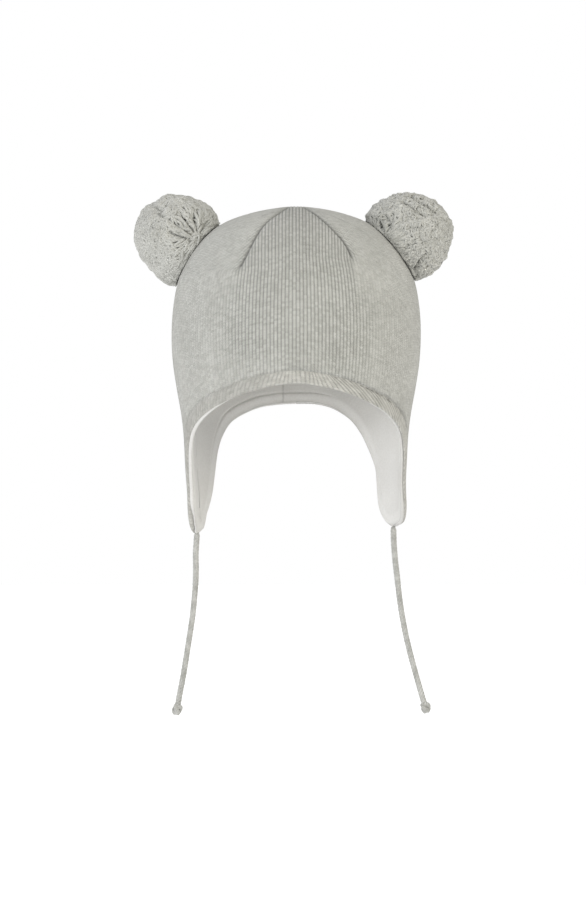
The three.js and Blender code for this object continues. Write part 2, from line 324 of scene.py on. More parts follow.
def laid_cord(name, line, sewn_in, turn):
    """Strands that wind round the line together, from inside the flap's tip on. turn is the angle at
    which the first one starts."""
    length = np.linalg.norm(np.diff(line, axis=0), axis=1).sum()
    start = line[0] + sewn_in
    line = np.vstack([np.linspace(start, line[0], SEWN_POINTS)[:-1], line])
    full = np.interp(np.arange(len(line)), (0, SEWN_POINTS), (SEWN_END_THICKNESS, 1))
    along = unit(np.gradient(line, axis=0))
    depth = np.array([0.0, 1.0, 0.0])
    across = unit(np.cross(along, depth))
    reach = np.concatenate([[0], np.cumsum(np.linalg.norm(np.diff(line, axis=0), axis=1))])
    strands = []
    for strand in range(TIE_STRANDS):
        phase = 2 * math.pi * (strand / TIE_STRANDS - reach / LAY_LENGTH) + turn
        strands.append(
            line
            + (STRAND_OFFSET * full * np.cos(phase))[:, None] * across
            + (STRAND_OFFSET * full * np.sin(phase))[:, None] * depth
        )
    return yarn_mesh(name, strands, STRAND_RADIUS, 2, [full] * TIE_STRANDS), length


def knot(name, line, roll):
    """The tie's end pulled through its own loops: a tight oval knot that grips the cord's end."""
    down = unit(line[-1] - line[-4])
    centre = line[-1] + down * (KNOT_LENGTH / 2 - KNOT_BITE)
    side = unit(np.cross(down, [0, 1, 0]))
    front = np.cross(side, down)
    t = np.linspace(0, 2 * math.pi, KNOT_POINTS, endpoint=False)
    reach = KNOT_LOOP + KNOT_WAVE * np.cos(KNOT_WAVES * t)
    loop_down = KNOT_STRETCH * KNOT_WAVE * np.sin(KNOT_WAVES * t)
    loop_side = reach * np.cos(KNOT_TURNS * t + roll)
    loop_front = reach * np.sin(KNOT_TURNS * t + roll)
    path = centre + loop_down[:, None] * down + loop_side[:, None] * side + loop_front[:, None] * front
    along = unit(np.roll(path, -1, axis=0) - np.roll(path, 1, axis=0))
    outwards = unit(path - centre)
    across = unit(np.cross(along, outwards))
    outwards = np.cross(across, along)
    strands = []
    for strand in range(KNOT_STRANDS):
        phase = KNOT_STRAND_TWISTS * t + 2 * math.pi * strand / KNOT_STRANDS
        strands.append(
            path
            + (KNOT_STRAND_OFFSET * np.cos(phase))[:, None] * across
            + (KNOT_STRAND_OFFSET * np.sin(phase))[:, None] * outwards
        )
    return yarn_mesh(name, strands, KNOT_STRAND_RADIUS, 2, closed=True)


cord_cotton = fibre_material(
    "grey_braid", CORD_DARK, CORD_LIGHT,
    fibre_scale=2600, patch_scale=260, roughness=0.9, bump=0.5, sheen=0.25,
)[0]
for side, route, turn in (("left", LEFT_ROUTE, 0.4), ("right", RIGHT_ROUTE, 2.2)):
    line = tie_line(route)
    tie_mesh, tie_length = laid_cord(f"tie_{side}", line, SEWN_IN[side], turn)
    tie = finish_piece(f"tie_{side}", tie_mesh, cord_cotton, f"cord_{side}")
    knot_mesh = knot(f"tie_knot_{side}", line, turn)
    tie_knot = finish_piece(f"tie_knot_{side}", knot_mesh, cord_cotton, f"knot_{side}")


# Outer shell: light grey marl cotton in a fine rib knit, four panels sewn together by curved darts that
# run down from the crown's top. Below the darts the ribs run on down to the hem and round the flaps.
SECTIONS = MM * np.array((
    # drop below the crown's top, half width, reach to the front, reach to the back
    (0, 0, 0, 0), (1.2, 12, 13.5, 14.2), (4, 25, 28.2, 29.6), (9.1, 38.6, 43.5, 45.7),
    (17, 50, 56.5, 59.3), (27.7, 59.3, 67.2, 70.5), (41, 66, 75, 78.6), (56, 69.2, 79, 83),
    (72, 70.3, 80.3, 84.8), (88, 69.6, 79, 84.2), (103.5, 67.2, 76, 80.5), (117, 64.6, 71.5, 73),
    (130.5, 62.9, 67.5, 62), (144, 62.2, 65, 52), (158, 61.5, 64, 45), (171, 61.2, 63, 41),
    (190, 59.5, 60, 38),
))
FRONT_EDGE = (
    # angle on the right and on the left in degrees from straight ahead, drop in millimetres
    (0, 0, 102.3), (13, 13, 104.2), (25, 25, 107.5), (37, 37, 112), (47, 47, 116), (56, 56, 120.4),
    (65, 64.5, 125.4), (72, 71.5, 131.2), (76.5, 76, 138.5), (78.5, 78, 148),
)
RIGHT_FLAP_EDGE = (
    # angle, drop, from the flap's front round its tip to the nape
    (79.4, 158), (80.4, 166), (83.2, 171.8), (88, 175.8), (94.8, 178.2), (101.5, 179.6), (108, 180.6),
    (112.8, 180.9), (116.5, 180.3), (119.8, 178.8), (123.2, 176.6), (127, 172.4), (128.8, 167.4),
    (129.1, 162), (129.4, 156), (130.3, 149.5),
    (133.4, 143), (136.7, 137.2), (141.5, 129.5), (149.5, 120.6), (160, 113.6), (170, 110.6),
    (180, 110.3),
)
LEFT_FLAP_EDGE = (
    (79.3, 159.2), (82, 169.5), (87.5, 177.8), (94, 181.8), (100, 184.2), (105.5, 185.1), (109.5, 185),
    (112.3, 183.7), (114.6, 181.4), (116.6, 178.8), (118, 176), (119.3, 173.6), (121.2, 171.2),
    (123.7, 166.6), (125.7, 162), (127.4, 156.5), (129.2, 149.5),
    (130.8, 142), (132.6, 136), (136, 129.3), (143.6, 120.9), (158.5, 113.5), (170, 111),
    (180, 110.3),
)
CROWN_TOP = 4.3 * MM
FLAP_SWAY = 0.6 * MM
FLAP_SWAY_STARTS = 150 * MM
FLAP_SWAY_FULL = 171 * MM
KNIT_WALL = 2.6 * MM
HEM_WIDTH = 6.8 * MM
SEAM_GAP = 0.3 * MM
EDGE_POINTS = 4000
EDGE_INDEX = np.arange(EDGE_POINTS)
COLUMNS_PER_RIB = 5
HALF_NARROW_COLUMNS = 88
WIDE_COLUMNS = 364
PANEL_HALF = 28.8
FRONT_DARTS = {
    # by side: drop, distance from the middle, both in millimetres, then the drop where the seam ends
    -1: (((0, 4.4), (1, 4.8), (2.2, 5.8), (4.6, 7.6), (8, 11.2), (12.1, 15.6), (17, 19.4), (22.3, 22.4),
          (28, 25.2), (35.3, 28.6)), 41),
    1: (((0, 4.2), (1, 4.6), (2.2, 5.6), (4.5, 7.5), (10.3, 13.2), (17.6, 20.4), (24.5, 26.4),
         (30.7, 29.7)), 34),
}
BACK_DARTS = {
    hand: (((0, 2.9), (1, 3.1), (2.2, 4.3), (4.6, 7), (11, 13.9), (20, 21.4), (28, 26.6)), 36)
    for hand in (-1, 1)
}
SHELL_ROWS = 71
SHELL_INNER_ROWS = 9
RIM_DEPTHS = (1.0 * MM, 2.2 * MM)
RIB_DEPTH = 0.5 * MM
RIB_PROFILE = np.array((1.0, 0.28, 0.0, 0.0, 0.28))
STITCH_HEIGHT = 1.45 * MM
SEAM_SEARCH = 14 * MM
GROOVE_DEPTH = 1.5 * MM
GROOVE_WIDTH = 0.75 * MM
PUCKER_DEPTH = 0.35 * MM
PUCKER_WIDTH = 4.5 * MM
HEM_DIP_HEIGHT = 1.6 * MM
CROWN_DIP = 0.5 * MM
WAVE_HEIGHT = 0.28 * MM
WAVE_SIZE = 42 * MM
KNIT_DARK = (0.36, 0.36, 0.33, 1)
KNIT_LIGHT = (0.60, 0.60, 0.565, 1)
MARL_FINISH = dict(fibre_scale=1500, patch_scale=60, roughness=0.95, bump=0.45, sheen=0.3)


def smoothstep(low, high, x):
    t = np.clip((x - low) / (high - low), 0, 1)
    return t * t * (3 - 2 * t)


def section_at(drop, column):
    """A smooth reading of one column of SECTIONS, on the square root of the drop."""
    knots, values = np.sqrt(SECTIONS[:, 0]), SECTIONS[:, column]
    slopes = np.gradient(values, knots)
    slopes[1:-1] = (values[2:] - values[:-2]) / (knots[2:] - knots[:-2])
    at = np.sqrt(np.maximum(drop, 0))
    i = np.clip(np.searchsorted(knots, at, side="right") - 1, 0, len(knots) - 2)
    span = knots[i + 1] - knots[i]
    u = (at - knots[i]) / span
    return (
        values[i] * (2 * u**3 - 3 * u**2 + 1)
        + values[i + 1] * (3 * u**2 - 2 * u**3)
        + slopes[i] * span * (u**3 - 2 * u**2 + u)
        + slopes[i + 1] * span * (u**3 - u**2)
    )


def face_point(angle, drop):
    """The knit's outer face at an angle from straight ahead, in radians, and a drop."""
    reach = np.where(np.cos(angle) > 0, section_at(drop, 2), section_at(drop, 3))
    sway = FLAP_SWAY * smoothstep(FLAP_SWAY_STARTS, FLAP_SWAY_FULL, drop)
    across = section_at(drop, 1) * np.sin(angle) + sway
    return np.stack([across, -reach * np.cos(angle), CROWN_TOP - drop], axis=-1)


def face_directions(angle, drop):
    """How the outer face runs: round the head and downwards per unit, and straight out."""
    probe = 1e-4
    low = np.maximum(drop, 2e-4)
    step = 1e-6
    round_ = (face_point(angle + probe, low) - face_point(angle - probe, low)) / (2 * probe)
    down = (face_point(angle, low + step) - face_point(angle, low - step)) / (2 * step)
    return round_, down, unit(np.cross(down, round_))


def wall_point(angle, drop, inset):
    """A point at a depth inside the outer face."""
    _, _, out = face_directions(angle, drop)
    top = np.asarray(drop) < 1e-6
    out = np.where(top[..., None], np.array([0.0, 0.0, 1.0]), out)
    return face_point(angle, drop) - out * np.asarray(inset)[..., None]


def whole_edge():
    """The lower edge as angles and drops at EDGE_POINTS even steps along it, from the nape round by
    the left, the forehead and the right, back to the nape."""
    right = [(angle, drop) for angle, _, drop in FRONT_EDGE] + list(RIGHT_FLAP_EDGE)
    left = [(-angle, drop) for _, angle, drop in FRONT_EDGE]
    left += [(-angle, drop) for angle, drop in LEFT_FLAP_EDGE]
    line = smooth_line(left[:0:-1] + right, EDGE_POINTS)
    angle, drop = np.radians(line[:, 0]), line[:, 1] * MM
    steps = np.linalg.norm(np.diff(face_point(angle, drop), axis=0), axis=1)
    reach = np.concatenate([[0], np.cumsum(steps)])
    even = np.linspace(0, reach[-1], EDGE_POINTS)
    return np.interp(even, reach, angle), np.interp(even, reach, drop), reach[-1]


def slide_inwards(angle, drop, distance, steps=4):
    """A closed line of places moved inwards over the face by a distance, at right angles to itself."""
    points = face_point(angle, drop)
    along = np.roll(points[:-1], -1, axis=0) - np.roll(points[:-1], 1, axis=0)
    along = unit(np.vstack([along, along[:1]]))
    angle, drop = angle.copy(), drop.copy()
    for _ in range(steps):
        round_, down, out = face_directions(angle, drop)
        inward = np.cross(out, along)
        rr, rd, dd = (round_ * round_).sum(-1), (round_ * down).sum(-1), (down * down).sum(-1)
        ir, id_ = (inward * round_).sum(-1), (inward * down).sum(-1)
        spread = rr * dd - rd * rd
        angle += distance / steps * (ir * dd - id_ * rd) / spread
        drop += distance / steps * (id_ * rr - ir * rd) / spread
    return angle, drop


def grid_mesh(name, points, uv, shade):
    """A mesh wrapped from a grid of rows x columns, whose last column repeats its first. Points that
    fall together are joined, so poles, seams and darts close. shade is kept as an attribute."""
    rows, columns = points.shape[0] - 1, points.shape[1] - 1
    bm = bmesh.new()
    bmesh.ops.create_grid(bm, x_segments=columns, y_segments=rows, size=1)
    mesh = bpy.data.meshes.new(name)
    bm.to_mesh(mesh)
    flat = np.empty(len(mesh.vertices) * 3)
    mesh.vertices.foreach_get("co", flat)
    flat = flat.reshape(-1, 3)
    column = np.rint((flat[:, 0] + 1) / 2 * columns).astype(int)
    row = np.rint((flat[:, 1] + 1) / 2 * rows).astype(int)
    mesh.vertices.foreach_set("co", points[row, column].ravel())
    painted_shade = mesh.attributes.new("painted_shade", "FLOAT", "POINT")
    painted_shade.data.foreach_set("value", shade[row, column].ravel())
    corners = np.empty(len(mesh.loops), dtype=np.int32)
    mesh.loops.foreach_get("vertex_index", corners)
    layer = mesh.uv_layers.new(name="UVMap")
    layer.data.foreach_set("uv", uv[row, column][corners].ravel())
    bm.clear()
    bm.from_mesh(mesh)
    bmesh.ops.remove_doubles(bm, verts=bm.verts, dist=2e-6)
    bmesh.ops.recalc_face_normals(bm, faces=bm.faces)
    bm.to_mesh(mesh)
    bm.free()
    return mesh


edge_angle, edge_drop, edge_length = whole_edge()
rim_angle, rim_drop = slide_inwards(edge_angle, edge_drop, HEM_WIDTH + SEAM_GAP)


def dart_across(drop, dart):
    """How far from the middle a dart's seam runs at a drop. It ends at the narrow panel's side."""
    spots, end = dart
    last = float(section_at(np.asarray(end * MM), 1)) * math.sin(math.radians(PANEL_HALF))
    line = [(math.sqrt(spot * MM), across * MM) for spot, across in spots] + [(math.sqrt(end * MM), last)]
    course = smooth_line(line, 300)
    return np.interp(np.sqrt(np.maximum(drop, 0)), course[:, 0], course[:, 1])


def dart_angle(drop, dart):
    """The same seam's angle, in degrees from the middle of the narrow panel."""
    across = dart_across(drop, dart) / np.maximum(section_at(drop, 1), 1e-6)
    return np.degrees(np.arcsin(np.clip(across, 0, 1)))


def panel_reach(drop, dart):
    """How far out the narrow panel's ribs still run at a drop, as a share of its half width."""
    across = np.minimum(dart_across(drop, dart), section_at(drop, 1))
    flat = section_at(np.asarray(dart[1] * MM), 1)
    return np.degrees(np.arcsin(np.clip(across / flat, 0, 1))) / PANEL_HALF


# Columns run from the middle of the nape round by the left, the forehead and the right to it again: half
# the back panel, the left panel, the front panel, the right panel and the other half of the back panel
half = HALF_NARROW_COLUMNS
wide = WIDE_COLUMNS
columns = 2 * (2 * half + wide)
column_angle = np.concatenate([
    np.linspace(-180, -180 + PANEL_HALF, half, endpoint=False),
    np.linspace(-180 + PANEL_HALF, -PANEL_HALF, wide, endpoint=False),
    np.linspace(-PANEL_HALF, PANEL_HALF, 2 * half, endpoint=False),
    np.linspace(PANEL_HALF, 180 - PANEL_HALF, wide, endpoint=False),
    np.linspace(180 - PANEL_HALF, 180, half + 1),
])


def edge_places(line_angle, line_drop, homes, evenness):
    """Where columns with these homes, in degrees, meet a line along the edge, as positions among its
    points. In front and behind they run straight down, and in the flaps they spread by evenness, so
    that some end on the flaps' sides."""
    natural = np.interp(np.degrees(line_angle), homes, np.arange(len(homes)))
    steps = np.linalg.norm(np.diff(face_point(line_angle, line_drop), axis=0), axis=1)
    reach = np.concatenate([[0], np.cumsum(steps)])
    index = natural.copy()
    for low, high in ((-152, -58), (58, 152)):
        inside = (np.degrees(line_angle) >= low) & (np.degrees(line_angle) <= high)
        first, last = np.flatnonzero(inside)[[0, -1]]
        even = (reach[inside] - reach[first]) / (reach[last] - reach[first])
        straight = natural[first] + even * (natural[last] - natural[first])
        index[inside] = (1 - evenness) * natural[inside] + evenness * straight
    return np.interp(np.arange(len(homes)), index, EDGE_INDEX)


def dart_starts():
    """For each column, the drop at which it starts on a dart's seam."""
    starts = np.zeros(columns + 1)
    drops = np.linspace(0, 1, 400) ** 2
    for middle, darts in ((0, FRONT_DARTS), (180, BACK_DARTS)):
        for hand, dart in darts.items():
            end = dart[1] * MM
            alive = panel_reach(drops * end, dart)
            from_middle = np.abs(column_angle) if middle == 0 else 180 - np.abs(column_angle)
            this_hand = (np.sign(column_angle) == hand) | (column_angle == 0)
            narrow = this_hand & (from_middle <= PANEL_HALF)
            starts[narrow] = np.interp(from_middle[narrow] / PANEL_HALF, alive, drops) * end
            # The wide panel's columns start on the same seam, in the same order from its lower end
            pitch = (180 - 2 * PANEL_HALF) / wide
            number = (from_middle - PANEL_HALF) / pitch
            beside = this_hand & (number > 0) & (number < half)
            mirrored = 1 - number[beside] / half
            starts[beside] = np.interp(mirrored, alive, drops) * end
            # Above the place where the two seams part there is no wide panel
            parting = drops[np.argmax(section_at(drops * end, 1) > dart_across(drops * end, dart))] * end
            wide_ones = this_hand & (from_middle > PANEL_HALF) & (from_middle <= 90)
            starts[wide_ones] = np.maximum(starts[wide_ones], parting)
    return starts


def column_places(drop):
    """The angle of every column at its drop in each row, in radians."""
    shape = drop.shape
    home = np.broadcast_to(column_angle, shape)
    placed = home.copy()
    for hand in (-1, 1):
        bounds = {}
        for middle, darts in ((0, FRONT_DARTS), (180, BACK_DARTS)):
            end = darts[hand][1] * MM
            level = np.minimum(drop, end)
            seam = dart_angle(level, darts[hand])
            from_middle = np.abs(home) if middle == 0 else 180 - np.abs(home)
            narrow = (np.sign(home) == hand) & (from_middle < PANEL_HALF - 1e-9) & (drop < end)
            flat = section_at(np.asarray(end), 1)
            radius = np.maximum(section_at(level, 1), 1e-6)
            sine = np.clip(flat * np.sin(np.radians(from_middle)) / radius, 0, 1)
            bent = np.minimum(np.degrees(np.arcsin(sine)), seam)
            bent = bent if middle == 0 else 180 - bent
            placed = np.where(narrow, hand * bent, placed)
            dead = half * (1 - panel_reach(level, darts[hand]))
            bounds[middle] = (seam, dead)
        front_seam, front_dead = bounds[0]
        back_seam, back_dead = bounds[180]
        pitch = (180 - 2 * PANEL_HALF) / wide
        number = (np.abs(home) - PANEL_HALF) / pitch
        share = (number - front_dead) / (wide - front_dead - back_dead)
        share = np.clip(share, 0, 1)
        spread = front_seam + (180 - back_seam - front_seam) * share
        beside = (np.sign(home) == hand) & (number >= -1e-9) & (number <= wide + 1e-9)
        placed = np.where(beside, hand * spread, placed)
    return np.radians(placed)


def shell_rows(count, power):
    """Angles and drops of the shell's rows of columns, from their starts on the darts to the rim."""
    share = (np.linspace(0, 1, count) ** power)[:, None]
    start, end = np.sqrt(dart_start), np.sqrt(column_rim_drop)
    drop = (start + (end - start) * share) ** 2
    angle = column_places(drop)
    turn = smoothstep(0.45, 1.0, drop / column_rim_drop)
    return angle + turn * (column_rim_angle - np.radians(column_angle)), drop


def seam_distance(points, drop):
    """How far each point is from the nearest dart seam, and how open that seam is there."""
    nearest = np.full(points.shape[:-1], 1.0)
    strength = np.zeros(points.shape[:-1])
    for middle, darts in ((0, FRONT_DARTS), (180, BACK_DARTS)):
        for hand, dart in darts.items():
            end = dart[1] * MM
            level = np.linspace(0.15, 1, 90) ** 2 * end
            off_middle = np.radians(dart_angle(level, dart))
            seam = face_point(hand * (off_middle if middle == 0 else math.pi - off_middle), level)
            fade = 1 - smoothstep(0.92, 1.0, level / end)
            close = drop < end + SEAM_SEARCH
            chosen = points[close]
            best = np.full(len(chosen), 1.0)
            open_ = np.zeros(len(chosen))
            for spot, amount in zip(seam, fade):
                away = np.linalg.norm(chosen - spot, axis=1)
                better = away < best
                best[better] = away[better]
                open_[better] = amount
            wins = best < nearest[close]
            near, power = nearest[close], strength[close]
            near[wins], power[wins] = best[wins], open_[wins]
            nearest[close], strength[close] = near, power
    return nearest, strength


def low_waves(points, seed, size):
    """Slow irregular waves over a surface, about size across, mostly between -1 and 1."""
    waves = np.zeros(points.shape[:-1])
    rng = np.random.default_rng(seed)
    for _ in range(6):
        direction = unit(rng.normal(size=3)) * 2 * math.pi / (size * rng.uniform(0.7, 1.6))
        waves += np.sin(points @ direction + rng.uniform(0, 2 * math.pi))
    return waves / 3


rim_places = edge_places(rim_angle, rim_drop, column_angle, 0.4)
column_rim_angle = np.interp(rim_places, EDGE_INDEX, rim_angle)
column_rim_drop = np.interp(rim_places, EDGE_INDEX, rim_drop)
dart_start = dart_starts()

outer_angle, outer_drop = shell_rows(SHELL_ROWS, power=1.3)
face = face_point(outer_angle, outer_drop)
along = np.linalg.norm(np.diff(face[::-1], axis=0), axis=2)
climb = np.vstack([np.zeros(columns + 1), np.cumsum(along, axis=0)])[::-1]
gap, gap_open = seam_distance(face, outer_drop)
pitch = np.linalg.norm(np.gradient(face, axis=1), axis=2) * COLUMNS_PER_RIB
rib = np.resize(RIB_PROFILE, columns + 1)
front_degrees = np.degrees(np.abs(outer_angle))
side_softness = smoothstep(25, 42, front_degrees) * (1 - smoothstep(138, 155, front_degrees))
rib_amount = smoothstep(0.5 * MM, 1.5 * MM, pitch) * (1 - 0.62 * side_softness)
left_front = smoothstep(10, 24, -np.degrees(outer_angle)) * (1 - smoothstep(80, 95, front_degrees))
rib_amount *= 1 - (0.25 + 0.3 * left_front) * smoothstep(78 * MM, 100 * MM, outer_drop)
over_ears = (np.abs(column_angle) > PANEL_HALF) & (np.abs(column_angle) < 180 - PANEL_HALF)
beside_dart = over_ears * (1 - smoothstep(34 * MM, 68 * MM, outer_drop)) * smoothstep(0, 6 * MM, gap)
rib_amount *= 1 - 0.85 * beside_dart
temple = smoothstep(18, 30, np.degrees(outer_angle)) * (1 - smoothstep(76, 84, np.degrees(outer_angle)))
groove = gap_open * np.exp(-((gap / GROOVE_WIDTH) ** 2))
pucker = gap_open * np.exp(-((gap / PUCKER_WIDTH) ** 2))
hem_dip = np.exp(-((climb / HEM_DIP_HEIGHT) ** 2))
waves = low_waves(face, 3, WAVE_SIZE)
inset = (
    RIB_DEPTH * rib * rib_amount * (1 - groove)
    + GROOVE_DEPTH * groove * (0.35 + 0.65 * smoothstep(1 * MM, 7 * MM, outer_drop))
    + PUCKER_DEPTH * pucker
    + (0.05 + 0.08 * temple) * MM * hem_dip
    + CROWN_DIP * (1 - smoothstep(4 * MM, 14 * MM, outer_drop))
    + WAVE_HEIGHT * waves
)
outer = wall_point(outer_angle, outer_drop, inset)
# Painted shade: the colour darkens in the rib valleys, in the dart seams' grooves, and just above the hem at
# the right temple.
painted_shade = 1 - np.clip(0.8 * rib * rib_amount * (1 - groove) + groove + 0.2 * temple * hem_dip, 0, 1)

inner_angle, inner_drop = shell_rows(SHELL_INNER_ROWS, power=1.0)
rim_wall = [
    wall_point(outer_angle[-1], outer_drop[-1], np.full(columns + 1, depth))
    for depth in RIM_DEPTHS
]
inner = wall_point(inner_angle, inner_drop, np.full(inner_drop.shape, KNIT_WALL))[::-1]
shell_points = np.concatenate([outer, rim_wall, inner])
shell_uv = np.zeros(shell_points.shape[:2] + (2,))
shell_uv[..., 0] = np.arange(columns + 1) / COLUMNS_PER_RIB
shell_uv[:SHELL_ROWS, :, 1] = climb / STITCH_HEIGHT
shell_uv[SHELL_ROWS:, :, 1] = -np.arange(1, len(shell_points) - SHELL_ROWS + 1)[:, None]
shell_painted_shade = np.ones(shell_points.shape[:2])
shell_painted_shade[:SHELL_ROWS] = painted_shade
shell_mesh = grid_mesh("knit_shell", shell_points, shell_uv, shell_painted_shade)


def stitch_group():
    """Knit stitches from a UV map whose whole numbers are ribs across and stitches up: each rib is a
    column of V-shaped loops."""
    group = bpy.data.node_groups.new("knit_stitches", "ShaderNodeTree")
    group.interface.new_socket("UV", in_out="INPUT", socket_type="NodeSocketVector")
    group.interface.new_socket("Height", in_out="OUTPUT", socket_type="NodeSocketFloat")
    group.interface.new_socket("Loop Tone", in_out="OUTPUT", socket_type="NodeSocketFloat")
    nodes, links = group.nodes, group.links
    ins, outs = nodes.new("NodeGroupInput"), nodes.new("NodeGroupOutput")

    def math_node(operation, first, second=None, third=None):
        node = nodes.new("ShaderNodeMath")
        node.operation = operation
        for socket, value in zip(node.inputs, (first, second, third)):
            if isinstance(value, (int, float)):
                socket.default_value = value
            elif value is not None:
                links.new(value, socket)
        return node.outputs["Value"]

    split = nodes.new("ShaderNodeSeparateXYZ")
    links.new(ins.outputs["UV"], split.inputs["Vector"])
    across = math_node("ABSOLUTE", math_node("SUBTRACT", math_node("FRACT", split.outputs["X"]), 0.5))
    lean = math_node("MULTIPLY_ADD", across, 1.1, split.outputs["Y"])
    loop = math_node("PINGPONG", lean, 0.5)
    loop = math_node("POWER", math_node("MULTIPLY", loop, 2.0), 0.6)
    leg = math_node("PINGPONG", across, 0.25)
    height = math_node("MULTIPLY_ADD", leg, 1.6, loop)
    links.new(height, outs.inputs["Height"])
    whole = nodes.new("ShaderNodeVectorMath")
    whole.operation = "FLOOR"
    links.new(ins.outputs["UV"], whole.inputs[0])
    each_loop = nodes.new("ShaderNodeTexWhiteNoise")
    each_loop.noise_dimensions = "2D"
    links.new(whole.outputs["Vector"], each_loop.inputs["Vector"])
    links.new(each_loop.outputs["Value"], outs.inputs["Loop Tone"])
    return group


knit_stitches = stitch_group()


def add_stitches(nodes, links, fuzz, colour, strength, variety):
    """Stitches under the fuzz: their bump feeds the fuzz's own normal, and each loop's yarn has its own
    tone, by variety."""
    where = nodes.new("ShaderNodeUVMap")
    where.uv_map = "UVMap"
    stitches = nodes.new("ShaderNodeGroup")
    stitches.node_tree = knit_stitches
    relief = nodes.new("ShaderNodeBump")
    relief.inputs["Strength"].default_value = strength
    relief.inputs["Distance"].default_value = 0.0004
    links.new(where.outputs["UV"], stitches.inputs["UV"])
    links.new(stitches.outputs["Height"], relief.inputs["Height"])
    links.new(relief.outputs["Normal"], fuzz.inputs["Normal"])
    fibre_tone = colour.inputs[0].links[0].from_socket
    loop_tone = nodes.new("ShaderNodeMix")
    loop_tone.inputs[0].default_value = variety
    links.new(fibre_tone, loop_tone.inputs[2])
    links.new(stitches.outputs["Loop Tone"], loop_tone.inputs[3])
    links.new(loop_tone.outputs[0], colour.inputs[0])


def knitted_material(name, dark, light, finish, strength, variety, least):
    """A fibre finish with stitches in it, and shade painted into its colour, as in the hollows between the
    ribs.
    """
    material, nodes, links, colour, fuzz = fibre_material(name, dark, light, **finish)
    add_stitches(nodes, links, fuzz, colour, strength, variety)
    paint_shade(nodes, links, colour, "painted_shade", least)
    return material


marl_knit = knitted_material(
    "grey_marl_knit", KNIT_DARK, KNIT_LIGHT, MARL_FINISH, strength=0.7, variety=0.45, least=0.5
)
finish_piece("knit_shell", shell_mesh, marl_knit, "outer_shell")


# Hem band: the knit turned up along the whole edge and linked on, so that its ribs lean away from the
# middle. The needles leave a row of small holes along its top, built where they show, in front on the right.
HEM_PITCH = 2.06 * MM
HEM_COLUMNS_PER_RIB = 5
HEM_LEAN = 41
LEAN_TURNS_OVER = 16 * MM
TEMPLE_PITCH = 1.42 * MM
TEMPLE_LEAN = 70
HEM_WAVER = 0.5 * MM
HEM_SECTION = MM * np.array((
    # how far up from the edge, how deep in the wall
    (0.0, 0.55), (0.12, 0.2), (0.45, -0.08), (1.0, -0.26), (1.8, -0.38), (2.8, -0.44), (3.8, -0.44),
    (4.8, -0.36), (5.7, -0.24), (6.4, -0.1), (6.9, 0.05), (7.1, 0.2), (7.1, 0.3), (6.9, 0.36),
    (6.75, 0.6), (6.7, 1.5), (6.6, 2.3), (5.0, 2.4), (3.4, 2.15), (1.9, 1.6), (0.6, 1.05), (0.0, 0.55),
))
# How strongly the ribs stand out, and how much shade is painted in their valleys, at each point of
# HEM_SECTION
HEM_RELIEF = np.array((0.5, 0.7, 0.9, 1, 1, 1, 1, 1, 1, 1, 0.9, 0.7) + (0,) * 9 + (0.5,))
HEM_HOLES = (
    # where the needle holes show, across from the middle in millimetres, and how open each one is
    (14.0, 0.3), (21.5, 0.55), (25.6, 0.4), (29.4, 0.7), (32.3, 0.5), (35.0, 0.9), (38.4, 1.2),
    (41.0, 0.9), (43.7, 1.0), (46.2, 0.8), (50.6, 0.9), (51.6, 1.0), (54.6, 0.5), (57.4, 0.4),
)
HOLE_HEIGHT = 7.0 * MM
HOLE_WIDTH = 0.75 * MM
HOLE_DEPTH = 1.4 * MM
HOLE_SHADE = 1.4
TIP_FOLD = 1.3 * MM
HEM_DARK = (0.38, 0.375, 0.34, 1)
HEM_LIGHT = (0.65, 0.64, 0.60, 1)


def left_tip_fold(degrees):
    """From 0 to 1 where the edge is folded in, at the front of the left flap's tip."""
    return smoothstep(80, 86, -degrees) * (1 - smoothstep(93, 101, -degrees))


reach = np.linspace(0, edge_length, EDGE_POINTS)
away = reach - np.interp(0, edge_angle, reach)
right_temple = smoothstep(6 * MM, 26 * MM, away) * (1 - smoothstep(78 * MM, 96 * MM, away))
lean = np.tanh(away / LEAN_TURNS_OVER) * np.tanh((edge_length / 2 - np.abs(away)) / LEAN_TURNS_OVER)
lean = np.radians(lean * (HEM_LEAN + (TEMPLE_LEAN - HEM_LEAN) * right_temple))
hem_pitch = HEM_PITCH + (TEMPLE_PITCH - HEM_PITCH) * right_temple
ribs_passed = np.concatenate([[0], np.cumsum((np.cos(lean) / hem_pitch)[1:] * np.diff(reach))])
hem_ribs = round(ribs_passed[-1])
hem_columns = hem_ribs * HEM_COLUMNS_PER_RIB
hem_reach = np.interp(np.linspace(0, ribs_passed[-1], hem_columns + 1), ribs_passed, reach)
hem_shift = HEM_WIDTH * np.tan(np.interp(hem_reach, reach, lean))
hem_temple = np.interp(hem_reach, reach, right_temple)
left_temple = smoothstep(4 * MM, 26 * MM, -away) * (1 - smoothstep(85 * MM, 110 * MM, -away))
hem_left = np.interp(hem_reach, reach, left_temple)
waver = HEM_WAVER * np.sin(hem_reach / (3.1 * MM) + 1.7 * np.sin(hem_reach / (7.9 * MM)))
hem_rows, hem_darkening = [], []
rib = np.resize(RIB_PROFILE, hem_columns + 1)
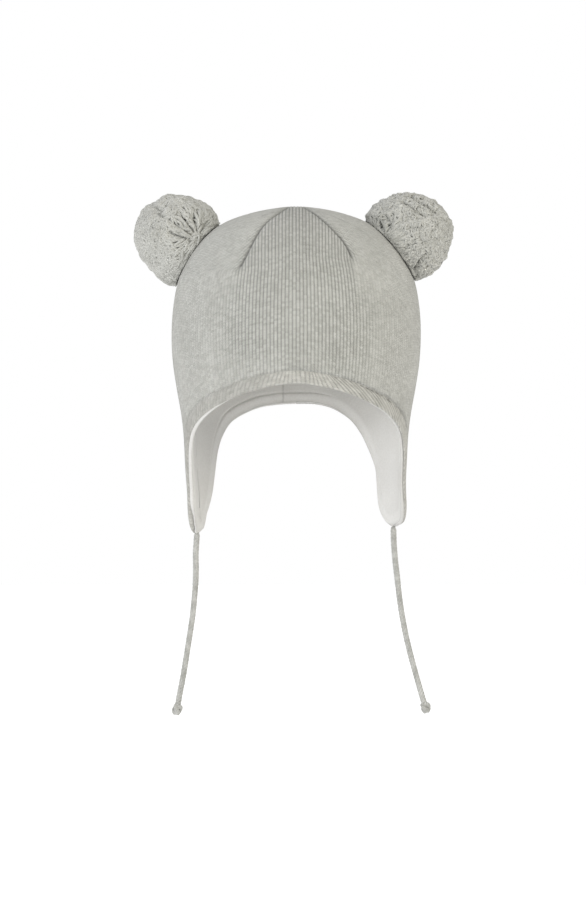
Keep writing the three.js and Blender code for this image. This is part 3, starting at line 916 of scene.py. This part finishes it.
for (up, depth), relief in zip(HEM_SECTION, HEM_RELIEF):
    row_angle, row_drop = slide_inwards(edge_angle, edge_drop, up)
    leaned = hem_reach - hem_shift * (up / HEM_WIDTH - 0.5)
    leaned += waver * up / HEM_WIDTH
    leaned = np.clip(leaned, 0, edge_length)
    angle, drop = np.interp(leaned, reach, row_angle), np.interp(leaned, reach, row_drop)
    on_top = math.exp(-(((up - HOLE_HEIGHT) / HOLE_WIDTH) ** 2)) * (1 if relief > 0 else 0)
    spot = face_point(angle, drop)
    hole = np.zeros(hem_columns + 1)
    for across, amount in HEM_HOLES:
        hole += amount * np.exp(-(((spot[:, 0] - across * MM) / HOLE_WIDTH) ** 2)) * (spot[:, 1] < 0)
    open_ = hole * on_top
    uneven = relief * (1 + 0.35 * low_waves(spot, 21, 6 * MM))
    rib_inset = (0.3 + 0.08 * hem_temple - 0.14 * hem_left) * MM * rib * uneven
    # Painted shade in the rib valleys and in the needle holes. Besides this the hem is darker on the left
    # and, a little, everywhere but at the right temple.
    tone = rib * uneven * (0.5 + 0.2 * hem_temple - 0.25 * hem_left) + 0.25 * hem_left
    tone += 0.08 * (1 - hem_temple)
    hem_darkening.append(np.clip(tone + open_ * HOLE_SHADE, 0, 1))
    fold = TIP_FOLD * left_tip_fold(np.degrees(angle))
    fold *= math.exp(-(((up - 0.9 * MM) / (2.0 * MM)) ** 2)) * (depth > 0.5 * MM)
    hem_rows.append(wall_point(angle, drop, depth + rib_inset + HOLE_DEPTH * open_ + fold))
hem_points = np.array(hem_rows)
hem_uv = np.zeros(hem_points.shape[:2] + (2,))
hem_uv[..., 0] = np.arange(hem_columns + 1) / HEM_COLUMNS_PER_RIB
section_steps = np.linalg.norm(np.diff(HEM_SECTION, axis=0), axis=1)
hem_uv[..., 1] = (np.concatenate([[0], np.cumsum(section_steps)]) / STITCH_HEIGHT)[:, None]
hem_mesh = grid_mesh("hem_band", hem_points, hem_uv, 1 - np.array(hem_darkening))

hem_knit = knitted_material(
    "hem_knit", HEM_DARK, HEM_LIGHT, MARL_FINISH, strength=0.6, variety=0.45, least=0.45
)
finish_piece("hem_band_knit", hem_mesh, hem_knit, "hem_band")


# Lining: smooth off-white cotton jersey, cut to the same shape and sewn in along the edge, where it rolls
# out a little below the hem. A seam line runs round it near the nape's edge, and one down its back.
LINING_OUTER = KNIT_WALL + SEAM_GAP
LINING_WALL = 1.4 * MM
LINING_INNER = LINING_OUTER + LINING_WALL
LINING_COLUMNS = 640
LINING_CROWN_ROWS = 58
LINING_FAN_ENDS = 8.2 * MM
OUTER_CROWN_ROWS = 14
OUTER_FAN_ENDS = 7 * MM
EDGE_THINNING = 1.75 * MM
EDGE_THINS_BELOW = 6.5 * MM
SEAM_FROM_EDGE = 6.2 * MM
SEAM_DEPTH = 0.8 * MM
SEAM_WIDTH = 0.55 * MM
PILLOW_FROM_EDGE = 3.4 * MM
PILLOW_HEIGHT = 0.4 * MM
PILLOW_WIDTH = 1.8 * MM
BACK_SEAM_ANGLE = -173.1
BACK_SEAM_DEPTH = 0.6 * MM
BACK_SEAM_WIDTH = 0.6 * MM
BEAD_CENTRE = 1.85 * MM
BEAD_RADIUS = 0.7 * MM
BEAD_STEPS = 9
JERSEY_WAVE_HEIGHT = 0.3 * MM
JERSEY_WAVE_SIZE = 34 * MM
JERSEY_COLUMN = 1.0 * MM
JERSEY_ROW = 1.1 * MM
FLAP_SHADES = (
    # hand, the degrees over which the flap's shade comes in, the drops over which it deepens, its depth
    (-1, 86, 104, 105 * MM, 130 * MM, 0.28),
    (1, 60, 75, 125 * MM, 150 * MM, 0.2),
)
LINING_DARK = (0.73, 0.72, 0.695, 1)
LINING_LIGHT = (0.84, 0.835, 0.815, 1)
JERSEY_FINISH = dict(fibre_scale=900, patch_scale=40, roughness=0.9, bump=0.15, sheen=0.2)

lining_home = np.linspace(-180, 180, LINING_COLUMNS + 1)
fan_angle, fan_drop = slide_inwards(edge_angle, edge_drop, LINING_FAN_ENDS)
lining_places = edge_places(fan_angle, fan_drop, lining_home, 0.5)


def lining_row(up):
    """One row along the edge, a distance above it. The distance may differ along the edge."""
    angle, drop = slide_inwards(edge_angle, edge_drop, up)
    return np.interp(lining_places, EDGE_INDEX, angle), np.interp(lining_places, EDGE_INDEX, drop)


def lining_crown(count, below):
    """Rows from the crown's top down to a distance above the edge, its columns fanning out."""
    end_angle, end_drop = lining_row(below)
    home = np.radians(lining_home)
    rows = []
    for share in np.linspace(0, 1, count):
        turn = smoothstep(0.45, 1.0, share**2)
        rows.append((home + turn * (end_angle - home), end_drop * share**2))
    return rows


def lining_outer(up):
    """How deep the jersey's outer side lies, a distance above the edge. Near the edge it is shallower."""
    return LINING_OUTER - EDGE_THINNING * (1 - smoothstep(0, EDGE_THINS_BELOW, up))


def front_left(degrees):
    """From 0 to 1 where the lining rolls out fuller, on the front of the left flap."""
    return smoothstep(-96, -82, degrees) * (1 - smoothstep(-62, -35, degrees))


def right_tip(degrees):
    """The same round the tip of the right flap."""
    return smoothstep(78.5, 82, degrees) * (1 - smoothstep(110, 120, degrees))


lining_degrees = np.degrees(lining_row(0)[0])
behind = 0.7 * smoothstep(126, 140, -lining_degrees) + 0.3 * smoothstep(135, 160, -lining_degrees)
behind += smoothstep(158, 174, lining_degrees)
tip_fold = left_tip_fold(lining_degrees)
lining_rows = []
for angle, drop in lining_crown(LINING_CROWN_ROWS, LINING_FAN_ENDS):
    lining_rows.append((angle, drop, np.full(LINING_COLUMNS + 1, LINING_INNER), 1.0))
for up in MM * np.array((7.3, 6.8, 6.5, 6.2, 5.9, 5.6, 5.1, 4.4, 3.5, 2.6, 1.8, 1.1, 0.6)):
    angle, drop = lining_row(up)
    groove = SEAM_DEPTH * behind * np.exp(-(((up - SEAM_FROM_EDGE) / SEAM_WIDTH) ** 2))
    pillow = PILLOW_HEIGHT * behind * np.exp(-(((up - PILLOW_FROM_EDGE) / PILLOW_WIDTH) ** 2))
    inner = lining_outer(up) + LINING_WALL
    calm = float(smoothstep(2 * MM, 9 * MM, up))
    fold = TIP_FOLD * tip_fold * math.exp(-((up / (4 * MM)) ** 2))
    lining_rows.append((angle, drop, inner - groove + pillow + fold, calm))
inner_rows = len(lining_rows)
edge_degrees = np.degrees(edge_angle)
hang = -0.3 + 0.85 * smoothstep(22, 48, -edge_degrees) + 0.45 * smoothstep(25, 50, edge_degrees)
hang = MM * (hang + 0.5 * front_left(edge_degrees) + 0.5 * right_tip(edge_degrees))
swell = 1 + 0.75 * front_left(lining_degrees) * (1 - tip_fold) + 0.6 * right_tip(lining_degrees)
for turn in np.linspace(0.05, 0.95, BEAD_STEPS) * math.pi:
    angle, drop = lining_row(0.45 * MM * (1 - math.sin(turn)) - hang * math.sin(turn))
    depth = BEAD_CENTRE + BEAD_RADIUS * math.cos(turn) * swell + TIP_FOLD * tip_fold
    lining_rows.append((angle, drop, depth, 0.0))
for up in MM * np.array((0.6, 1.3, 2.4, 3.6, 5.0)):
    angle, drop = lining_row(up)
    fold = TIP_FOLD * tip_fold * math.exp(-((up / (2.5 * MM)) ** 2))
    lining_rows.append((angle, drop, lining_outer(up) + fold, 0.0))
for angle, drop in lining_crown(OUTER_CROWN_ROWS, OUTER_FAN_ENDS)[::-1]:
    lining_rows.append((angle, drop, np.full(LINING_COLUMNS + 1, LINING_OUTER), 0.0))

row_angle = np.array([row[0] for row in lining_rows])
row_drop = np.array([row[1] for row in lining_rows])
row_inset = np.array([row[2] for row in lining_rows])
calm = np.array([row[3] for row in lining_rows])[:, None]
lining_face = face_point(row_angle, row_drop)
off_seam = (np.degrees(row_angle) - BACK_SEAM_ANGLE) / 360
off_seam = (off_seam - np.rint(off_seam)) * 2 * math.pi * np.linalg.norm(lining_face[..., :2], axis=2)
seam_dip = np.exp(-((off_seam / BACK_SEAM_WIDTH) ** 2))
seam_dip[inner_rows:] = 0
row_inset += calm * JERSEY_WAVE_HEIGHT * low_waves(lining_face, 11, JERSEY_WAVE_SIZE)
row_inset -= BACK_SEAM_DEPTH * seam_dip
lining_points = wall_point(row_angle, row_drop, row_inset)
lining_uv = np.zeros(lining_points.shape[:2] + (2,))
lining_uv[..., 0] = np.interp(lining_places, EDGE_INDEX, reach) / JERSEY_COLUMN
lining_steps = np.linalg.norm(np.diff(lining_points, axis=0), axis=2)
lining_uv[1:, :, 1] = np.cumsum(lining_steps, axis=0) / JERSEY_ROW
# Painted shade along the back seam's groove.
lining_shade = np.ones(lining_points.shape[:2]) - 0.5 * seam_dip
# Painted shade on the rolled bead, which faces the light: more on the right and in the left tip's fold.
bead_shade = 0.25 + 0.3 * smoothstep(20, 50, np.degrees(row_angle)) + 0.3 * tip_fold
lining_shade[inner_rows:inner_rows + BEAD_STEPS] -= bead_shade[inner_rows:inner_rows + BEAD_STEPS]
# Painted shade inside the flaps, deeper lower down, and more in the left flap.
for hand, comes, full, starts, deep, amount in FLAP_SHADES:
    degrees = hand * np.degrees(row_angle)
    in_flap = smoothstep(comes, full, degrees) * (1 - smoothstep(134, 150, degrees))
    lining_shade[:inner_rows] -= (amount * in_flap * smoothstep(starts, deep, row_drop))[:inner_rows]
lining_mesh = grid_mesh("jersey_lining", lining_points, lining_uv, lining_shade)

white_jersey = knitted_material(
    "white_jersey", LINING_DARK, LINING_LIGHT, JERSEY_FINISH, strength=0.15, variety=0.1, least=0.6
)
finish_piece("jersey_lining", lining_mesh, white_jersey, "lining")


# Pompoms: thick balls of cut grey yarn, tied through the middle and sewn to the crown, where the knit
# presses them flat. The yarn sweeps out from the tie and lies matted over the ball.
POMPOM_RADIUS = 25 * MM
POMPOMS = {
    # all lengths in millimetres. tie: where the tie sits. matting: how matted the yarn is towards the left
    # and the right. gaps: how far it stands off the crown high up and low down. outline: the radius at
    # every 15 degrees seen from the front. clefts: lines across and up, between clumps of yarn
    "left": dict(
        centre=(-67.4, 1, -13.6), tie=(-53.5, -19.5, -13.6), seed=5,
        matting=(0.95, 0.35), gaps=(0.7, 0.15), curl=0.35,
        outline=(25.2, 25.4, 26.3, 25.6, 24.9, 24.6, 24.2, 24.5, 23.6, 24.6, 24.2, 24.6, 24.3, 23.5,
                 23.0, 22.7, 24.0, 26.6, 27.8, 27.8, 27.0, 26.0, 26.0, 26.0),
        clefts=((-76.2, -1.6, -72.2, 3.6), (-80.5, 3.5, -75.0, 1.0), (-78.0, -1.0, -74.0, -3.4),
                (-66.5, -8.0, -58.0, -13.6), (-62.5, -4.5, -56.0, -12.0), (-57.0, -3.0, -54.6, -10.5),
                (-70.0, -12.5, -59.0, -16.4), (-50.5, -7.5, -52.5, -12.0)),
    ),
    "right": dict(
        centre=(64, -2, -13.3), tie=(48.6, -19.0, -18.5), seed=6,
        matting=(0.0, 0.0), gaps=(0.25, 0.45), curl=1.0,
        outline=(24.5, 24.8, 25.1, 24.9, 24.5, 24.4, 25.1, 25.4, 26.0, 26.8, 28.0, 27.0, 26.5, 25.5,
                 25.0, 25.0, 25.0, 25.0, 25.2, 25.4, 25.0, 23.6, 23.2, 23.5),
        clefts=((64.2, 8.7, 70.6, 4.4), (70.6, 4.4, 78.9, -0.9), (60.0, 4.9, 71.8, -3.4),
                (71.6, -24.7, 66.0, -32.5), (49.6, -3.5, 52.4, -9.5), (54.0, -2.6, 52.0, -8.5),
                (46.0, -6.5, 48.6, -11.5)),
    ),
}
STRANDS = 3600
STRAND_THICKNESS = np.array([0.7, 0.9, 1.0, 1.0, 1.0, 0.9, 0.5])
YARN_RADIUS = 0.88 * MM
CLUMP_SIZE = 13 * MM
TUFT_SIZE = 4.5 * MM
CORE_LUMP_SIZE = 3.2 * MM
CORE_CLEAR = 0.6 * MM
CLEFT_WIDTH = 1.1
YARN_DARK = (0.385, 0.385, 0.355, 1)
YARN_LIGHT = (0.63, 0.63, 0.595, 1)


def keep_off_crown(points, clear):
    """Points that would lie in the crown, pressed out to its face."""
    drop = np.clip(CROWN_TOP - points[..., 2], 0, 0.18)
    side = section_at(drop, 1)
    reach_ = np.where(points[..., 1] < 0, section_at(drop, 2), section_at(drop, 3))
    share = np.sqrt((points[..., 0] / side) ** 2 + (points[..., 1] / reach_) ** 2)
    angle = np.arctan2(points[..., 0] / side, -points[..., 1] / reach_)
    surface = wall_point(angle, drop, -clear + 0 * drop)
    inside = (share < 1 + clear / side) & (points[..., 2] < CROWN_TOP)
    return np.where(inside[..., None], surface, points)


def ball_radius(directions, outline):
    """The ball's radius in each direction: its outline seen from the front, rounder front to back."""
    turn = np.degrees(np.arctan2(directions[..., 2], directions[..., 0])) % 360
    seen = np.interp(turn, np.arange(0, 361, 15), outline + outline[:1]) * MM
    level = np.sqrt(directions[..., 0] ** 2 + directions[..., 2] ** 2)
    return POMPOM_RADIUS * 0.98 * (1 - level) + seen * level


def even_directions(count, rng):
    """Directions spread evenly over a ball, a little shaken."""
    i = np.arange(count) + 0.5
    height = 1 - 2 * i / count
    turn = math.pi * (1 + 5**0.5) * i
    flat = np.sqrt(1 - height**2)
    spots = np.column_stack([flat * np.cos(turn), flat * np.sin(turn), height])
    return unit(spots + rng.normal(scale=0.02, size=spots.shape))


def cleft_depth(points, clefts):
    """From 0 to 1 where a point on the front lies in one of the clefts."""
    depth = np.zeros(points.shape[:-1])
    flat = points[..., (0, 2)] / MM
    for x0, z0, x1, z1 in clefts:
        start, run = np.array([x0, z0]), np.array([x1 - x0, z1 - z0])
        share = np.clip(((flat - start) @ run) / (run @ run), 0, 1)
        away = np.linalg.norm(flat - start - share[..., None] * run, axis=-1)
        depth = np.maximum(depth, np.exp(-((away / CLEFT_WIDTH) ** 2)))
    return depth * (points[..., 1] < -2 * MM)


def pompom_mesh(name, centre, tie, seed, matting, gaps, curl, outline, clefts):
    """Yarns over the ball, each lying outwards from the tie, on a core of matted yarn ends."""
    rng = np.random.default_rng(seed)
    centre, tie = MM * np.array(centre), MM * np.array(tie)
    to_tie = unit(tie - centre)
    roots = even_directions(STRANDS, rng)
    spots = centre + roots * POMPOM_RADIUS * 0.97
    roots = roots[np.linalg.norm(keep_off_crown(spots, 0) - spots, axis=1) < 3 * MM]
    count = len(roots)
    facing = roots @ to_tie
    away = unit(facing[:, None] * roots - to_tie)
    across = np.cross(roots, away)
    near = smoothstep(0.45 + 0.2 * curl, 0.94, facing)
    matted = np.interp(roots[:, 0], (-0.5, 0.4), matting)
    veer = rng.normal(scale=1.0, size=count) * (1.3 - 1.05 * near)
    heading = np.cos(veer)[:, None] * away + np.sin(veer)[:, None] * across
    sideways = np.cross(roots, heading)
    length = (6.0 - 0.8 * curl + 5.5 * near + rng.uniform(-1.5, 2.0, count)) * MM
    layer = rng.uniform(0, 1, count) ** 1.4 * (1.0 + 0.9 * near - 0.55 * matted * (1 - near))
    wiggle = rng.uniform(0, 2 * math.pi, count)
    lines = np.empty((count, len(STRAND_THICKNESS), 3))
    snaking = (0.6 + 0.7 * curl) * (1 - 0.65 * near) * MM
    for k, u in enumerate(np.linspace(-0.5, 0.5, len(STRAND_THICKNESS))):
        bend = np.sin((2.6 + 1.2 * curl) * math.pi * u + wiggle) * snaking
        spot = unit(
            roots + (length * u / POMPOM_RADIUS)[:, None] * heading
            + (bend / POMPOM_RADIUS)[:, None] * sideways
        )
        dip = (2.6 * max(-u - 0.1, 0) ** 1.5 + 0.5 * max(u - 0.25, 0)) * (1.9 + 2.8 * near) * MM
        sunk = dip + 1.3 * MM * layer + YARN_RADIUS
        lines[:, k] = centre + spot * (ball_radius(spot, outline) - sunk)[:, None]
    lumps = 0.5 * low_waves(lines, seed, CLUMP_SIZE) - 3.2 * cleft_depth(lines, clefts)
    lumps += (0.25 + 0.35 * curl) * low_waves(lines, seed + 2, TUFT_SIZE)
    lines += unit(lines - centre) * (MM * lumps)[..., None]
    overhang = np.interp(-lines[..., 2] / MM, (12, 24), gaps) * MM
    lines = keep_off_crown(lines, overhang + YARN_RADIUS)
    thick = rng.uniform(0.75, 1.2, (count, 1)) * STRAND_THICKNESS
    mesh = yarn_mesh(name, lines, YARN_RADIUS, 0, thick)

    bm = bmesh.new()
    bm.from_mesh(mesh)
    first_new = len(bm.verts)
    bmesh.ops.create_icosphere(bm, subdivisions=5, radius=1)
    bm.verts.ensure_lookup_table()
    core = bm.verts[first_new:]
    directions = unit(np.array([vert.co for vert in core]))
    close_to_tie = smoothstep(0.45, 0.92, directions @ to_tie)
    matted = np.interp(directions[:, 0], (-0.5, 0.4), matting)
    under = (2.5 - 1.45 * matted) * (1 - close_to_tie) + 4.4 * close_to_tie
    spots = centre + directions * ball_radius(directions, outline)[:, None]
    under = under - 0.5 * low_waves(spots, seed, CLUMP_SIZE) + 3.0 * cleft_depth(spots, clefts)
    under = under + 0.3 * low_waves(spots, seed + 1, CORE_LUMP_SIZE)
    spots -= directions * (under * MM)[:, None]
    for vert, spot in zip(core, keep_off_crown(spots, CORE_CLEAR)):
        vert.co = spot
    bm.to_mesh(mesh)
    bm.free()
    return mesh


pompom_yarn = fibre_material(
    "grey_pompom_yarn", YARN_DARK, YARN_LIGHT,
    fibre_scale=1300, patch_scale=130, roughness=1.0, bump=0.6, sheen=0.35,
)[0]
for side, facts in POMPOMS.items():
    ball = pompom_mesh(f"pompom_{side}_yarn", **facts)
    finish_piece(f"pompom_{side}_yarn", ball, pompom_yarn, f"pompom_{side}")
